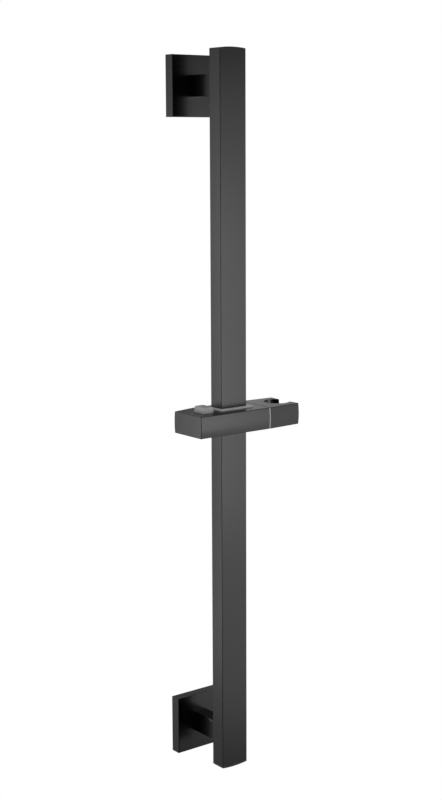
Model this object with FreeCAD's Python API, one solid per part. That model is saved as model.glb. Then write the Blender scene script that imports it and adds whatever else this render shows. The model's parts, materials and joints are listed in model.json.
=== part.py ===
"""Shower slide rail: an upright rail on two square wall brackets, with a sliding handset holder.

Millimetres. The wall is the plane Y = 0 and the rail stands in front of it, towards -Y.
X runs along the wall to the right and Z runs up. The origin is on the wall at the centre
of the lower bracket.
"""

import FreeCAD, Part
import math
import os
from FreeCAD import Vector

# Rail: a drawn rectangular tube
fixing_spacing = 628.0
rail_above_bracket = 32.4
rail_below_bracket = 29.6
rail_width = 30.0
rail_depth = 16.0
rail_wall = 1.5
rail_corner_r = 0.5

# End caps: crowned lids on hollow plugs
cap_rim = 1.5
cap_crown = 1.0
cap_plug_depth = 9.0
cap_plug_wall = 1.5
cap_plug_gap = 0.3
cap_rib_width = 1.2
cap_rib_spacing = 16.0

# Brackets: a square rose and its arm, cast in one
rose_side = 57.2
rose_depth = 11.0
rose_wall = 3.0
rose_front = 3.5
rose_edge_r = 0.8
arm_length = 38.5
arm_width = 15.0
arm_height = 20.0
arm_edge_r = 0.8
arm_seat = 10.0

# Wall plates inside the roses, and the grub screws that lock them
plate_thickness = 6.0
plate_clearance = 0.2
plate_edge_chamfer = 0.5
wall_hole_spacing = 30.0
wall_hole_r = 2.75
wall_head_r = 5.0
wall_head_depth = 2.5
grub_r = 2.5
grub_length = 6.0
grub_recess = 0.3
grub_from_wall = 4.0
grub_key = 2.5
grub_key_depth = 2.5
grub_boss_width = 9.0
grub_boss_gap = 0.6

# Screws that hold the rail on the arms
rail_screw_r = 3.0
rail_screw_length = 20.0
rail_screw_head_r = 5.0
rail_screw_head_height = 6.0
rail_screw_key = 5.0
rail_screw_key_depth = 3.0
screw_hole_gap = 0.3
screw_head_gap = 0.4
thread_gap = 0.05
nut_plate_width = 22.0
nut_plate_height = 24.0
nut_plate_thickness = 6.0
nut_plate_chamfer = 0.6

# Slider block, measured from the rail's axis
slider_height = 20.6
slider_left = 52.0
slider_right = 29.5
slider_front = 25.0
slider_back = 21.0
slider_crown = 0.8
slider_edge_r = 0.6
slider_back_taper = 5.5
slider_taper_from = 25.7
slider_above_lower_bracket = 317.3

# Guide bushes that line the slider's passage
bush_gap = 0.2
bush_wall = 1.8
bush_fit = 0.05
bush_sleeve = 4.8
bush_corner_r = 1.0
bush_flange_thickness = 1.3
bush_flange_side = 5.3
bush_flange_front = 5.2
bush_flange_back = 4.6
bush_flange_r = 3.0

# Release button with its wedge stem
button_from_rail = 33.8
button_in_front_of_rail_middle = 5.4
button_width = 11.0
button_length = 15.5
button_proud = 5.7
button_draft = 0.6
button_edge_r = 0.7
button_guide = 2.5
button_gap = 0.15
button_travel = 3.0
stem_floor_gap = 0.7
pocket_floor = 2.8

# Wedge brake: the stem's slope pushes the shoe against the rail
wedge_slope = 0.3
wedge_from_rail = 31.6
wedge_gap = 0.05
rib_neck_width = 2.0
rib_neck_depth = 1.0
rib_head_width = 4.0
rib_head_depth = 1.2
rib_gap = 0.1
shoe_width = 10.0
shoe_in_front_of_rail_middle = 1.5
shoe_height = 8.0
shoe_gap = 0.1
pad_thickness = 2.0
pad_edge_r = 0.4
pad_to_rail = 0.1

# Button spring
spring_r = 2.1
spring_wire_r = 0.3
spring_steps = 12
spring_turns = 5
spring_bore_gap = 0.2
spring_from_stem_edge = 3.5
spring_bore_depth = 5.5

# Swivel joint between the slider and the holder head
friction_washer_thickness = 1.4
friction_washer_inset = 0.2
seam_gap = 0.1
sleeve_r = 4.5
sleeve_bore_gap = 0.1
sleeve_gap = 0.05
swivel_wall = 7.2
swivel_spring_r = 6.6
swivel_spring_thickness = 1.2
swivel_spring_gap = 0.05
swivel_spring_split = 0.9
swivel_spring_split_turn = 30.0
swivel_recess_gap = 0.4
swivel_screw_r = 3.0
swivel_screw_length = 20.0
swivel_screw_head_r = 6.6
swivel_screw_head_height = 3.2
swivel_screw_chamfer = 0.8
swivel_screw_key = 4.0
swivel_screw_key_depth = 1.8
swivel_hole_spare = 0.4

# Holder head with its C-shaped conical socket
head_end = 68.0
head_taper = 2.4
socket_from_end = 10.5
socket_top_r = 12.5
socket_bottom_r = 10.8
hose_slot_width = 15.0

# Places that follow from the sizes
rail_y = -(rose_depth + arm_length + rail_depth / 2)
rail_back_y = rail_y + rail_depth / 2
upper_z = fixing_spacing
rail_low = -rail_below_bracket
rail_high = upper_z + rail_above_bracket
slider_z = slider_above_lower_bracket
block_y = rail_y + (slider_back - slider_front) / 2
plate_side = rose_side - 2 * rose_wall - 2 * plate_clearance
grub_tip = rose_side / 2 - grub_recess - grub_length
passage_margin = bush_gap + bush_wall + bush_fit
button_y = rail_y - button_in_front_of_rail_middle
shoe_y = rail_y - shoe_in_front_of_rail_middle
stem_bottom = -slider_height / 2 + pocket_floor + stem_floor_gap + button_travel - button_gap
swivel_recess_x = slider_right + friction_washer_thickness + seam_gap + swivel_wall
sleeve_end_x = swivel_recess_x + 2 * swivel_spring_gap + swivel_spring_thickness
socket_x = head_end - socket_from_end

X = Vector(1, 0, 0)
Y = Vector(0, 1, 0)
Z = Vector(0, 0, 1)


def block(x, y, z):
    """A block between the low and high value of each pair."""
    corner = Vector(x[0], y[0], z[0])
    return Part.makeBox(x[1] - x[0], y[1] - y[0], z[1] - z[0], corner)


def around(centre, width):
    """The low and high value of a width about its centre."""
    return (centre - width / 2, centre + width / 2)


def rod(radius, start, length, direction):
    """A round bar from its start along a direction."""
    return Part.makeCylinder(radius, length, start, direction)


def ring(outer_r, inner_r, start, length, direction):
    """A round bar with a hole through it."""
    return rod(outer_r, start, length, direction).cut(rod(inner_r, start, length, direction))


def hexagon_corners(radius, centre, direction):
    """The corners of a hexagon across a direction, with the first one repeated at the end."""
    other = Z if abs(direction.dot(Z)) < 0.5 else X
    side = direction.cross(other).normalize()
    other = direction.cross(side).normalize()
    corners = []
    for number in range(7):
        angle = math.radians(60 * number)
        corners.append(centre + side * (radius * math.cos(angle)) + other * (radius * math.sin(angle)))
    return corners


def hexagon(across_flats, start, depth, direction):
    """A six-sided bar, the shape of a socket for a hexagon key."""
    outline = Part.makePolygon(hexagon_corners(across_flats / math.sqrt(3), start, direction))
    return Part.Face(outline).extrude(direction * depth)


def straight_edges(shape, direction, keep=None):
    """The shape's straight edges along a direction, or those of them whose middle passes the test."""
    found = []
    for edge in shape.Edges:
        run = edge.Vertexes[-1].Point - edge.Vertexes[0].Point
        is_straight = run.Length > 1e-6 and abs(run.Length - edge.Length) < 1e-6
        if not is_straight or abs(run.normalize().dot(direction)) < 0.999:
            continue
        if keep is None or keep(edge.CenterOfMass):
            found.append(edge)
    return found


def edges_at(shape, direction, place):
    """The shape's edges that lie wholly in the plane across a direction at a place."""
    found = []
    for edge in shape.Edges:
        box = edge.BoundBox
        low = Vector(box.XMin, box.YMin, box.ZMin).dot(direction)
        high = Vector(box.XMax, box.YMax, box.ZMax).dot(direction)
        if abs(low - place) < 1e-3 and abs(high - place) < 1e-3:
            found.append(edge)
    return found


def upright_bar(width, depth, radius, low, high, y=rail_y):
    """A bar along Z with rounded corners, centred on X = 0."""
    bar = block(around(0, width), around(y, depth), (low, high))
    return bar.makeFillet(radius, straight_edges(bar, Z))


def sloped_prism(low, high, near, far, y):
    """A prism along the wedge's slope, between two distances in front of its face."""
    corners = []
    for height, offset in ((low, near), (low, far), (high, far), (high, near)):
        x = wedge_x(height) + offset
        corners.append(Vector(x, y[0], slider_z + height))
    outline = Part.makePolygon(corners + [corners[0]])
    return Part.Face(outline).extrude(Y * (y[1] - y[0]))


def wedge_x(height):
    """Where the stem's sloping face is at a height above the slider's middle."""
    return -wedge_from_rail - wedge_slope * height


def block_outline(x, inset=0.0, narrow=0.0):
    """The slider's section across X: flat top and underside, crowned front and back."""
    half = slider_height / 2 - inset
    front = rail_y - slider_front + inset + narrow
    back = rail_y + slider_back - inset - narrow
    front_low = Vector(x, front, slider_z - half)
    front_high = Vector(x, front, slider_z + half)
    back_low = Vector(x, back, slider_z - half)
    back_high = Vector(x, back, slider_z + half)
    edges = [
        Part.Arc(front_low, Vector(x, front - slider_crown, slider_z), front_high).toShape(),
        Part.LineSegment(front_high, back_high).toShape(),
        Part.Arc(back_high, Vector(x, back + slider_crown, slider_z), back_low).toShape(),
        Part.LineSegment(back_low, front_low).toShape(),
    ]
    return Part.Wire(edges)


# Rail and end caps


def rail_tube():
    """The tube, with a hole in its back for each arm's screw."""
    low = rail_low + cap_rim
    high = rail_high - cap_rim
    tube = upright_bar(rail_width, rail_depth, rail_corner_r, low, high)
    inner_width = rail_width - 2 * rail_wall
    inner_depth = rail_depth - 2 * rail_wall
    tube = tube.cut(block(around(0, inner_width), around(rail_y, inner_depth), (low, high)))
    for z in (0, upper_z):
        start = Vector(0, rail_back_y - rail_wall, z)
        tube = tube.cut(rod(rail_screw_r + screw_hole_gap, start, rail_wall, Y))
    return tube


def crowned_bar(low, high):
    """The rail's outline from a low to a high level, with its top crowned over the width."""
    bar = upright_bar(rail_width, rail_depth, rail_corner_r, low, high)
    half = rail_width / 2
    crown_r = (half**2 + cap_crown**2) / (2 * cap_crown)
    start = Vector(0, rail_y - rail_depth / 2, high - crown_r)
    return bar.common(rod(crown_r, start, rail_depth, Y))


def end_cap(is_upper):
    """A lid with a low crown, on a hollow plug whose ribs grip inside the tube."""
    seat_z = rail_high - cap_rim
    lid = crowned_bar(seat_z, rail_high + cap_crown)
    inner_width = rail_width - 2 * rail_wall
    inner_depth = rail_depth - 2 * rail_wall
    plug_width = inner_width - 2 * cap_plug_gap
    plug_depth = inner_depth - 2 * cap_plug_gap
    low = seat_z - cap_plug_depth
    plug = block(around(0, plug_width), around(rail_y, plug_depth), (low, seat_z))
    hollow = block(
        around(0, plug_width - 2 * cap_plug_wall),
        around(rail_y, plug_depth - 2 * cap_plug_wall),
        (low, seat_z),
    )
    cap = lid.fuse(plug.cut(hollow))
    for side in (-1, 1):
        x = around(side * cap_rib_spacing / 2, cap_rib_width)
        cap = cap.fuse(block(x, around(rail_y, inner_depth), (low + cap_rib_width, seat_z)).cut(hollow))
    cap = cap.removeSplitter()
    if not is_upper:
        cap.rotate(Vector(0, rail_y, (rail_low + rail_high) / 2), Y, 180)
    return cap


# Brackets


def bracket(z):
    """The rose, hollow towards the wall, with the arm that carries the rail."""
    rose = block(around(0, rose_side), (-rose_depth, 0), around(z, rose_side))
    rose = rose.makeFillet(rose_edge_r, edges_at(rose, Y, -rose_depth))
    arm = block(around(0, arm_width), (rail_back_y, -rose_depth + rose_front / 2), around(z, arm_height))
    arm = arm.makeFillet(arm_edge_r, straight_edges(arm, Y))
    casting = rose.fuse(arm)

    cavity_side = rose_side - 2 * rose_wall
    cavity_y = (-rose_depth + rose_front, 0)
    cavity = block(around(0, cavity_side), cavity_y, around(z, cavity_side))
    boss_z = (z - cavity_side / 2 - rose_wall / 2, z - grub_tip - grub_boss_gap)
    cavity = cavity.cut(block(around(0, grub_boss_width), cavity_y, boss_z))
    casting = casting.cut(cavity)

    seat_y = rail_back_y + arm_seat
    bore_length = cavity_y[0] - seat_y
    casting = casting.cut(rod(rail_screw_head_r + screw_head_gap, Vector(0, seat_y, z), bore_length, Y))
    casting = casting.cut(rod(rail_screw_r + screw_hole_gap, Vector(0, rail_back_y, z), arm_seat, Y))
    grub_hole = Vector(0, -grub_from_wall, z - rose_side / 2)
    return casting.cut(rod(grub_r + thread_gap, grub_hole, grub_length + grub_boss_gap, Z))


def wall_plate(z):
    """The flange that is screwed to the wall, notched for the grub screw's boss."""
    plate = block(around(0, plate_side), (-plate_thickness, 0), around(z, plate_side))
    plate = plate.makeChamfer(plate_edge_chamfer, edges_at(plate, Y, -plate_thickness))
    notch_width = grub_boss_width + 2 * plate_clearance
    notch_z = (z - plate_side, z - grub_tip)
    plate = plate.cut(block(around(0, notch_width), (-plate_thickness, 0), notch_z))
    for side in (-1, 1):
        front = Vector(side * wall_hole_spacing / 2, -plate_thickness, z)
        plate = plate.cut(rod(wall_hole_r, front, plate_thickness, Y))
        plate = plate.cut(rod(wall_head_r, front, wall_head_depth, Y))
    return plate


def grub_screw(z):
    """A headless screw under the rose, with its tip on the wall plate."""
    start = Vector(0, -grub_from_wall, z - grub_tip - grub_length)
    screw = rod(grub_r, start, grub_length, Z)
    return screw.cut(hexagon(grub_key, start, grub_key_depth, Z))


def rail_screw(z):
    """A socket screw deep in the arm, through the rail's back wall."""
    under_head = rail_back_y + arm_seat
    head = rod(rail_screw_head_r, Vector(0, under_head, z), rail_screw_head_height, Y)
    head_top = under_head + rail_screw_head_height
    shank = rod(rail_screw_r, Vector(0, under_head - rail_screw_length, z), rail_screw_length, Y)
    key_start = Vector(0, head_top - rail_screw_key_depth, z)
    key = hexagon(rail_screw_key, key_start, rail_screw_key_depth, Y)
    return head.fuse(shank).cut(key).removeSplitter()


def nut_plate(z):
    """A threaded bar inside the rail, against its back wall."""
    back = rail_back_y - rail_wall
    front = back - nut_plate_thickness
    bar = block(around(0, nut_plate_width), (front, back), around(z, nut_plate_height))
    bar = bar.makeChamfer(nut_plate_chamfer, straight_edges(bar, Y))
    return bar.cut(rod(rail_screw_r + thread_gap, Vector(0, front, z), nut_plate_thickness, Y))


# Slider


def slider_length(x):
    """A block around the slider that covers only part of its length."""
    reach = slider_front + slider_back
    return block(x, around(rail_y, 2 * reach), around(slider_z, 2 * slider_height))


def slider_body():
    """The cast block around the rail, with the button's pocket and the shoe's channel."""
    body = Part.Face(block_outline(-slider_left)).extrude(X * (slider_left + slider_right))
    right_part = body.common(slider_length((-slider_taper_from, slider_right)))
    turned = Part.Face(block_outline(-2 * slider_left)).extrude(X * (2 * slider_left))
    angle = math.atan2(slider_back_taper, slider_left - slider_taper_from)
    turned.rotate(Vector(-slider_taper_from, rail_y + slider_back, slider_z), Z, math.degrees(angle))
    left_part = body.common(slider_length((-slider_left, -slider_taper_from))).common(turned)
    body = left_part.fuse(right_part).removeSplitter()
    tapered = Vector(math.cos(angle), math.sin(angle), 0)
    rounded = straight_edges(body, X) + straight_edges(body, tapered)
    rounded += edges_at(body, X, -slider_left)
    body = body.makeFillet(slider_edge_r, rounded)

    low = slider_z - slider_height / 2
    high = slider_z + slider_height / 2
    passage_width = rail_width + 2 * passage_margin
    passage_depth = rail_depth + 2 * passage_margin
    body = body.cut(upright_bar(passage_width, passage_depth, bush_corner_r, low, high))

    pocket_x = around(-button_from_rail, button_width + 2 * button_gap)
    pocket_y = around(button_y, button_length + 2 * button_gap)
    pocket = block(pocket_x, pocket_y, (low + pocket_floor, high))
    body = body.cut(pocket)

    channel_x = (-button_from_rail, -rail_width / 2)
    channel_y = around(shoe_y, shoe_width + 2 * shoe_gap)
    channel_z = around(slider_z, shoe_height + 2 * shoe_gap)
    body = body.cut(block(channel_x, channel_y, channel_z))

    swivel_depth = swivel_screw_length - (sleeve_end_x - slider_right)
    swivel_start = Vector(slider_right, block_y, slider_z)
    thread_r = swivel_screw_r + thread_gap
    return body.cut(rod(thread_r, swivel_start, swivel_depth + swivel_hole_spare, -X))


def guide_bush(is_upper):
    """A liner between block and rail, with a flange on the block's face."""
    top = slider_z + slider_height / 2
    width = rail_width + 2 * (bush_gap + bush_wall)
    depth = rail_depth + 2 * (bush_gap + bush_wall)
    sleeve = upright_bar(width, depth, bush_corner_r - bush_fit, top - bush_sleeve, top)
    flange_x = around(0, rail_width + 2 * bush_flange_side)
    flange_y = (rail_y - rail_depth / 2 - bush_flange_front, rail_y + rail_depth / 2 + bush_flange_back)
    flange = block(flange_x, flange_y, (top, top + bush_flange_thickness))
    flange = flange.makeFillet(bush_flange_r, straight_edges(flange, Z))
    hole_width = rail_width + 2 * bush_gap
    hole_depth = rail_depth + 2 * bush_gap
    hole = upright_bar(hole_width, hole_depth, rail_corner_r, top - bush_sleeve, top + bush_flange_thickness)
    bush = flange.fuse(sleeve).cut(hole).removeSplitter()
    if not is_upper:
        bush = bush.mirror(Vector(0, 0, slider_z), Z)
    return bush


def release_button():
    """The button's drafted cap, its guide, and the stem with the wedge and T rib below."""
    top = slider_z + slider_height / 2
    width = button_width
    length = button_length
    base_x = around(0, width)
    base_y = around(0, length)
    top_x = around(0, width - 2 * button_draft)
    top_y = around(0, length - 2 * button_draft)
    cap = Part.makeWedge(
        base_x[0], 0, base_y[0], top_y[0], top_x[0], base_x[1], button_proud, base_y[1], top_y[1], top_x[1]
    )
    cap.rotate(Vector(0, 0, 0), X, 90)
    cap.translate(Vector(-button_from_rail, button_y, top))
    cap = cap.makeFillet(button_edge_r, edges_at(cap, Z, top + button_proud))
    guide_x = around(-button_from_rail, width)
    guide_y = around(button_y, length)
    guide = block(guide_x, guide_y, (top - button_guide, top))

    guide_low = slider_height / 2 - button_guide
    stem = sloped_prism(stem_bottom, guide_low, -width, 0, guide_y)
    stem = stem.common(block((guide_x[0], 0), guide_y, (slider_z + stem_bottom, top)))
    rib_top = shoe_height / 2
    neck_y = around(shoe_y, rib_neck_width)
    head_y = around(shoe_y, rib_head_width)
    neck = sloped_prism(stem_bottom, rib_top, 0, rib_neck_depth, neck_y)
    far = rib_neck_depth + rib_head_depth
    rib_head = sloped_prism(stem_bottom, rib_top, rib_neck_depth, far, head_y)
    button = cap.fuse([guide, stem, neck, rib_head]).removeSplitter()
    bore_r = spring_r + spring_wire_r + spring_bore_gap
    return button.cut(rod(bore_r, spring_foot(stem_bottom), spring_bore_depth, Z))


def spring_foot(height):
    """A point on the spring's axis at a height above the slider's middle."""
    x = -button_from_rail - button_width / 2 + spring_from_stem_edge
    return Vector(x, button_y, slider_z + height)


def button_spring():
    """A coil spring between the pocket's floor and the top of the stem's bore."""
    low = -slider_height / 2 + pocket_floor + spring_wire_r
    high = stem_bottom + spring_bore_depth - spring_wire_r
    count = spring_turns * spring_steps
    path = []
    for number in range(count + 1):
        angle = math.radians(360 * number / spring_steps)
        height = low + (high - low) * number / count
        path.append(spring_foot(height) + Vector(spring_r * math.cos(angle), spring_r * math.sin(angle), 0))
    start = (path[1] - path[0]).normalize()
    wire = Part.makePolygon(hexagon_corners(spring_wire_r, path[0], start))
    corner_style = 1
    return Part.Wire(Part.makePolygon(path).Edges).makePipeShell([wire], True, False, corner_style)


def brake_shoe():
    """The shoe between the stem's slope and the pad, slotted for the stem's T rib."""
    pad_back = -rail_width / 2 - pad_to_rail - pad_thickness
    half = shoe_height / 2
    width = around(shoe_y, shoe_width)
    reach = wedge_from_rail
    shoe = sloped_prism(-half, half, wedge_gap, reach, width)
    shoe = shoe.common(block((-2 * wedge_from_rail, pad_back), width, around(slider_z, shoe_height)))
    neck_y = around(shoe_y, rib_neck_width + 2 * rib_gap)
    head_y = around(shoe_y, rib_head_width + 2 * rib_gap)
    near = rib_neck_depth - rib_gap
    far = rib_neck_depth + rib_head_depth + rib_gap
    shoe = shoe.cut(sloped_prism(-half, half, 0, far, neck_y))
    return shoe.cut(sloped_prism(-half, half, near, far, head_y))


def brake_pad():
    """The lining on the shoe that grips the rail's narrow side."""
    face = -rail_width / 2 - pad_to_rail
    pad = block((face - pad_thickness, face), around(shoe_y, shoe_width), around(slider_z, shoe_height))
    return pad.makeFillet(pad_edge_r, edges_at(pad, X, face))


# Swivel and holder head


def on_swivel(x):
    """A point on the swivel's axis."""
    return Vector(x, block_y, slider_z)


def friction_washer():
    """A plate of the block's own section, between the slider and the head."""
    outline = block_outline(slider_right, friction_washer_inset)
    plate = Part.Face(outline).extrude(X * friction_washer_thickness)
    hole_r = sleeve_r + sleeve_gap
    return plate.cut(rod(hole_r, on_swivel(slider_right), friction_washer_thickness, X))


def swivel_sleeve():
    """The sleeve that the head turns on, clamped by the screw."""
    bore_r = swivel_screw_r + sleeve_bore_gap
    return ring(sleeve_r, bore_r, on_swivel(slider_right), sleeve_end_x - slider_right, X)


def swivel_spring():
    """The split spring washer that presses the head against the friction washer."""
    start = on_swivel(swivel_recess_x + swivel_spring_gap)
    washer = ring(swivel_spring_r, sleeve_r + sleeve_gap, start, swivel_spring_thickness, X)
    middle = start + X * (swivel_spring_thickness / 2)
    split_x = around(middle.x, 3 * swivel_spring_thickness)
    split = block(split_x, around(block_y, swivel_spring_split), (slider_z, slider_z + 2 * swivel_spring_r))
    split.rotate(middle, Z, swivel_spring_split_turn)
    return washer.cut(split)


def swivel_screw():
    """A wide-headed screw through the head into the slider, which holds sleeve and spring."""
    under_head = sleeve_end_x
    rise = swivel_screw_head_height
    head = rod(swivel_screw_head_r, on_swivel(under_head), rise, X)
    head = head.makeChamfer(swivel_screw_chamfer, edges_at(head, X, under_head + rise))
    shank = rod(swivel_screw_r, on_swivel(under_head), swivel_screw_length, -X)
    depth = swivel_screw_key_depth
    key = hexagon(swivel_screw_key, on_swivel(under_head + rise - depth), depth, X)
    return head.fuse(shank).cut(key).removeSplitter()


def holder_head():
    """The swivelling head: a tapering block with a conical socket, open at its end."""
    start = slider_right + friction_washer_thickness + seam_gap
    length = head_end - start
    angle = math.degrees(math.atan2(head_taper, length))
    half = Part.Face(block_outline(start - length)).extrude(X * (2 * length))
    half = half.makeFillet(slider_edge_r, straight_edges(half, X) + edges_at(half, X, head_end))
    half.rotate(Vector(start, rail_y - slider_front, slider_z), Z, angle)
    reach = 2 * length
    half = half.common(block((start, start + reach), (block_y - reach, block_y), around(slider_z, reach)))
    head = half.fuse(half.mirror(Vector(0, block_y, 0), Y)).removeSplitter()
    slot_y = around(block_y, hose_slot_width)
    head = head.cut(block((socket_x, start + reach), slot_y, around(slider_z, slider_height)))

    low = slider_z - slider_height / 2
    foot = Vector(socket_x, block_y, low)
    head = head.cut(Part.makeCone(socket_bottom_r, socket_top_r, slider_height, foot, Z))

    bore_start = on_swivel(start)
    head = head.cut(rod(sleeve_r + sleeve_gap, bore_start, socket_x - start, X))
    recess_r = swivel_spring_r + swivel_recess_gap
    recess_length = socket_x - swivel_recess_x
    return head.cut(rod(recess_r, on_swivel(swivel_recess_x), recess_length, X))


pieces = {
    "rail_tube": rail_tube(),
    "upper_end_cap": end_cap(True),
    "lower_end_cap": end_cap(False),
    "slider_body": slider_body(),
    "upper_guide_bush": guide_bush(True),
    "lower_guide_bush": guide_bush(False),
    "release_button": release_button(),
    "button_spring": button_spring(),
    "brake_shoe": brake_shoe(),
    "brake_pad": brake_pad(),
    "friction_washer": friction_washer(),
    "swivel_sleeve": swivel_sleeve(),
    "swivel_spring": swivel_spring(),
    "swivel_screw": swivel_screw(),
    "holder_head": holder_head(),
}
for name, z in (("lower", 0), ("upper", upper_z)):
    pieces[f"{name}_bracket"] = bracket(z)
    pieces[f"{name}_wall_plate"] = wall_plate(z)
    pieces[f"{name}_grub_screw"] = grub_screw(z)
    pieces[f"{name}_rail_screw"] = rail_screw(z)
    pieces[f"{name}_nut_plate"] = nut_plate(z)

os.makedirs("parts", exist_ok=True)
for name, shape in pieces.items():
    shape.exportStep(f"parts/{name}.step")
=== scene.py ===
"""Finishes a shower slide rail: satin black castings and tube, light grey mouldings, screws."""

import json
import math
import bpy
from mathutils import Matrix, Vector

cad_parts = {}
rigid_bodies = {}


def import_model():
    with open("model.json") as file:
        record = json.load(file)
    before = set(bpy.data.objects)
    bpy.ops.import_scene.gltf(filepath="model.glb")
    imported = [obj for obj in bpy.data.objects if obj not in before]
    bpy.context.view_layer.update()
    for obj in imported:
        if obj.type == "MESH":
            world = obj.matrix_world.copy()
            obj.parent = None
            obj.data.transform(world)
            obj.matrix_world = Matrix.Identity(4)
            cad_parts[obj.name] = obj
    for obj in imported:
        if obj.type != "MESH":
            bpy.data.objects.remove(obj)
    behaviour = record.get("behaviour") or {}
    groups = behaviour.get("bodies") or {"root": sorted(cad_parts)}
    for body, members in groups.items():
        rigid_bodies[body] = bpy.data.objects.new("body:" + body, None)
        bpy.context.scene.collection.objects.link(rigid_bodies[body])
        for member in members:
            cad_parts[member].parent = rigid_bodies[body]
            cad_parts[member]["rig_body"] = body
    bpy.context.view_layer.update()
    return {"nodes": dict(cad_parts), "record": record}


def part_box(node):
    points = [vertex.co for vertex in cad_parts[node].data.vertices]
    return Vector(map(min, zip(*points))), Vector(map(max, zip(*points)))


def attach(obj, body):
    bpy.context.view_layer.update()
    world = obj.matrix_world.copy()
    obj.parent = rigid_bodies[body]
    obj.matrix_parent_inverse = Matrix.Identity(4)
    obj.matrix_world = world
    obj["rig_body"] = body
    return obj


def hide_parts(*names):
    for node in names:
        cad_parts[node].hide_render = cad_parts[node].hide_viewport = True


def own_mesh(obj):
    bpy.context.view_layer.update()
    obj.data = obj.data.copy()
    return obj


bl_info = {
    "name": "Shower Slide Rail",
    "version": (1, 0, 0),
    "blender": (4, 5, 0),
    "location": "View3D > Sidebar > Slide Rail",
    "description": "Dresses the pieces of a shower slide rail and sets the studio around it",
    "category": "Object",
}

from functools import partial

import bmesh
import bpy
from bpy.props import FloatProperty, FloatVectorProperty, IntProperty, PointerProperty
from bpy.types import NodeSocket, Operator, Panel, PropertyGroup
from mathutils import Matrix, Vector
from mathutils.bvhtree import BVHTree
from mathutils.geometry import barycentric_transform

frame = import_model()

body_of_node = {name: piece["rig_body"] for name, piece in frame["nodes"].items()}
slot_of_node = {row["node"]: row["material_slot"] for row in frame["record"]["subparts"]}

# The screws' own sizes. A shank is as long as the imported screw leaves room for.
rail_screw = {
    "Head Radius": 0.005,
    "Head Height": 0.006,
    "Chamfer": 0.0004,
    "Shank Radius": 0.003,
    "Thread From": 0.0075,
    "Key Width": 0.005,
    "Key Depth": 0.003,
}
grub_screw = {
    "Head Radius": 0.00225,
    "Head Height": 0.0006,
    "Chamfer": 0.0002,
    "Shank Radius": 0.0025,
    "Thread From": 0.0005,
    "Key Width": 0.0025,
    "Key Depth": 0.0025,
    "Pitch": 0.0008,
    "Thread Depth": 0.0004,
}
swivel_screw = {
    "Head Radius": 0.0066,
    "Head Height": 0.0032,
    "Chamfer": 0.0008,
    "Shank Radius": 0.003,
    "Thread From": 0.0136,
    "Key Width": 0.004,
    "Key Depth": 0.0018,
}

# The point that the lamps face, and each lamp's power setting, size and place from that point
rail_middle = Vector((0.0, -0.06, 0.315))
lamps = {
    "Front lamp": ("front_lamp", (1.2, 1.3), (0.814, -1.272, -0.247)),
    "Front lamp heart": ("front_heart", (0.69, 0.66), (0.631, -1.365, -0.14)),
    "Side lamp": ("side_lamp", (0.93, 1.18), (-1.305, 0.869, -0.225)),
    "Side lamp heart": ("side_heart", (0.93, 0.55), (-1.305, 0.869, -0.09)),
    "Top lamp": ("top_lamp", (1.2, 1.2), (-0.3, -0.5, 1.6)),
}

# A dark stretch of wall: where it lies, in degrees from the way into the rail's wall towards the
# right, and how bright gloss shows it along its way. Its first and last levels hold beyond it.
panel_from, panel_to = 30, 45
panel_levels = ((0.0, 0.8), (0.2, 0.25), (0.45, 0.1), (0.54, 1.0), (0.63, 0.55), (1.0, 0.5))


# Sizes and colours that a user may change


def length(name, default, description):
    """A size in metres."""
    return FloatProperty(
        name=name,
        description=description,
        default=default,
        min=0.0,
        precision=5,
        subtype="DISTANCE",
        unit="LENGTH",
    )


def angle(name, degrees, description):
    """An angle, whose default is given in degrees."""
    return FloatProperty(
        name=name, description=description, default=math.radians(degrees), subtype="ANGLE"
    )


def colour(name, default, description):
    """A surface colour."""
    return FloatVectorProperty(
        name=name, description=description, default=default, min=0, max=1, subtype="COLOR"
    )


def share(name, default, description):
    """A value from 0 to 1."""
    return FloatProperty(
        name=name, description=description, default=default, min=0, max=1, subtype="FACTOR"
    )


def power(name, default, description):
    """The power of a lamp in watts."""
    return FloatProperty(
        name=name, description=description, default=default, min=0, unit="POWER"
    )


class SlideRailFinishes(PropertyGroup):
    """Colours and gloss of the rail's materials."""

    coat_colour: colour("Coat", (0.001, 0.001, 0.00105), "Satin black coat of tube and castings")
    coat_gloss: share("Coat roughness", 0.23, "Roughness of the satin black coat")
    moulding_colour: colour(
        "Mouldings", (0.34, 0.343, 0.34), "Light grey plastic of button and washer"
    )
    # Paler than the mouldings: partly a natural plastic tone, partly painted light that lifts the
    # thin flange shaded by the rail
    bush_lit_colour: colour(
        "Guide bushes", (0.66, 0.66, 0.645), "Paler grey plastic of the guide bushes"
    )
    nylon_colour: colour("Nylon", (0.016, 0.016, 0.017), "Black nylon of the brake shoe")
    rubber_colour: colour("Rubber", (0.01, 0.01, 0.01), "Black rubber of the brake pad")
    zinc_colour: colour("Zinc", (0.56, 0.58, 0.6), "Zinc plating of wall plates and nut plates")
    steel_colour: colour("Stainless steel", (0.6, 0.6, 0.59), "Bright steel of screws and springs")
    brass_colour: colour("Brass", (0.72, 0.53, 0.24), "Turned brass of the swivel sleeve")


class SlideRailEdges(PropertyGroup):
    """How far the sharp edges of each kind of piece are eased."""

    cap_rim: length("Cap rims", 0.0003, "Rounded rim of each end cap")
    casting: length("Castings", 0.0004, "Rounded edges of roses, slider and holder head")
    moulding: length("Mouldings", 0.0003, "Rounded edges of the plastic pieces")
    plate: length("Plates", 0.0003, "Eased edges of the steel plates")


class SlideRailTube(PropertyGroup):
    """Sizes of the rail's drawn tube."""

    width: length("Width", 0.030, "Across the rail's front")
    depth: length("Depth", 0.016, "From the rail's front to its back")
    wall: length("Wall", 0.0015, "Thickness of the tube's wall")
    corner: length("Corner radius", 0.0005, "Radius of the tube's outer corners")
    screw_hole: length("Screw hole radius", 0.0033, "Radius of the two holes in the tube's back")


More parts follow.
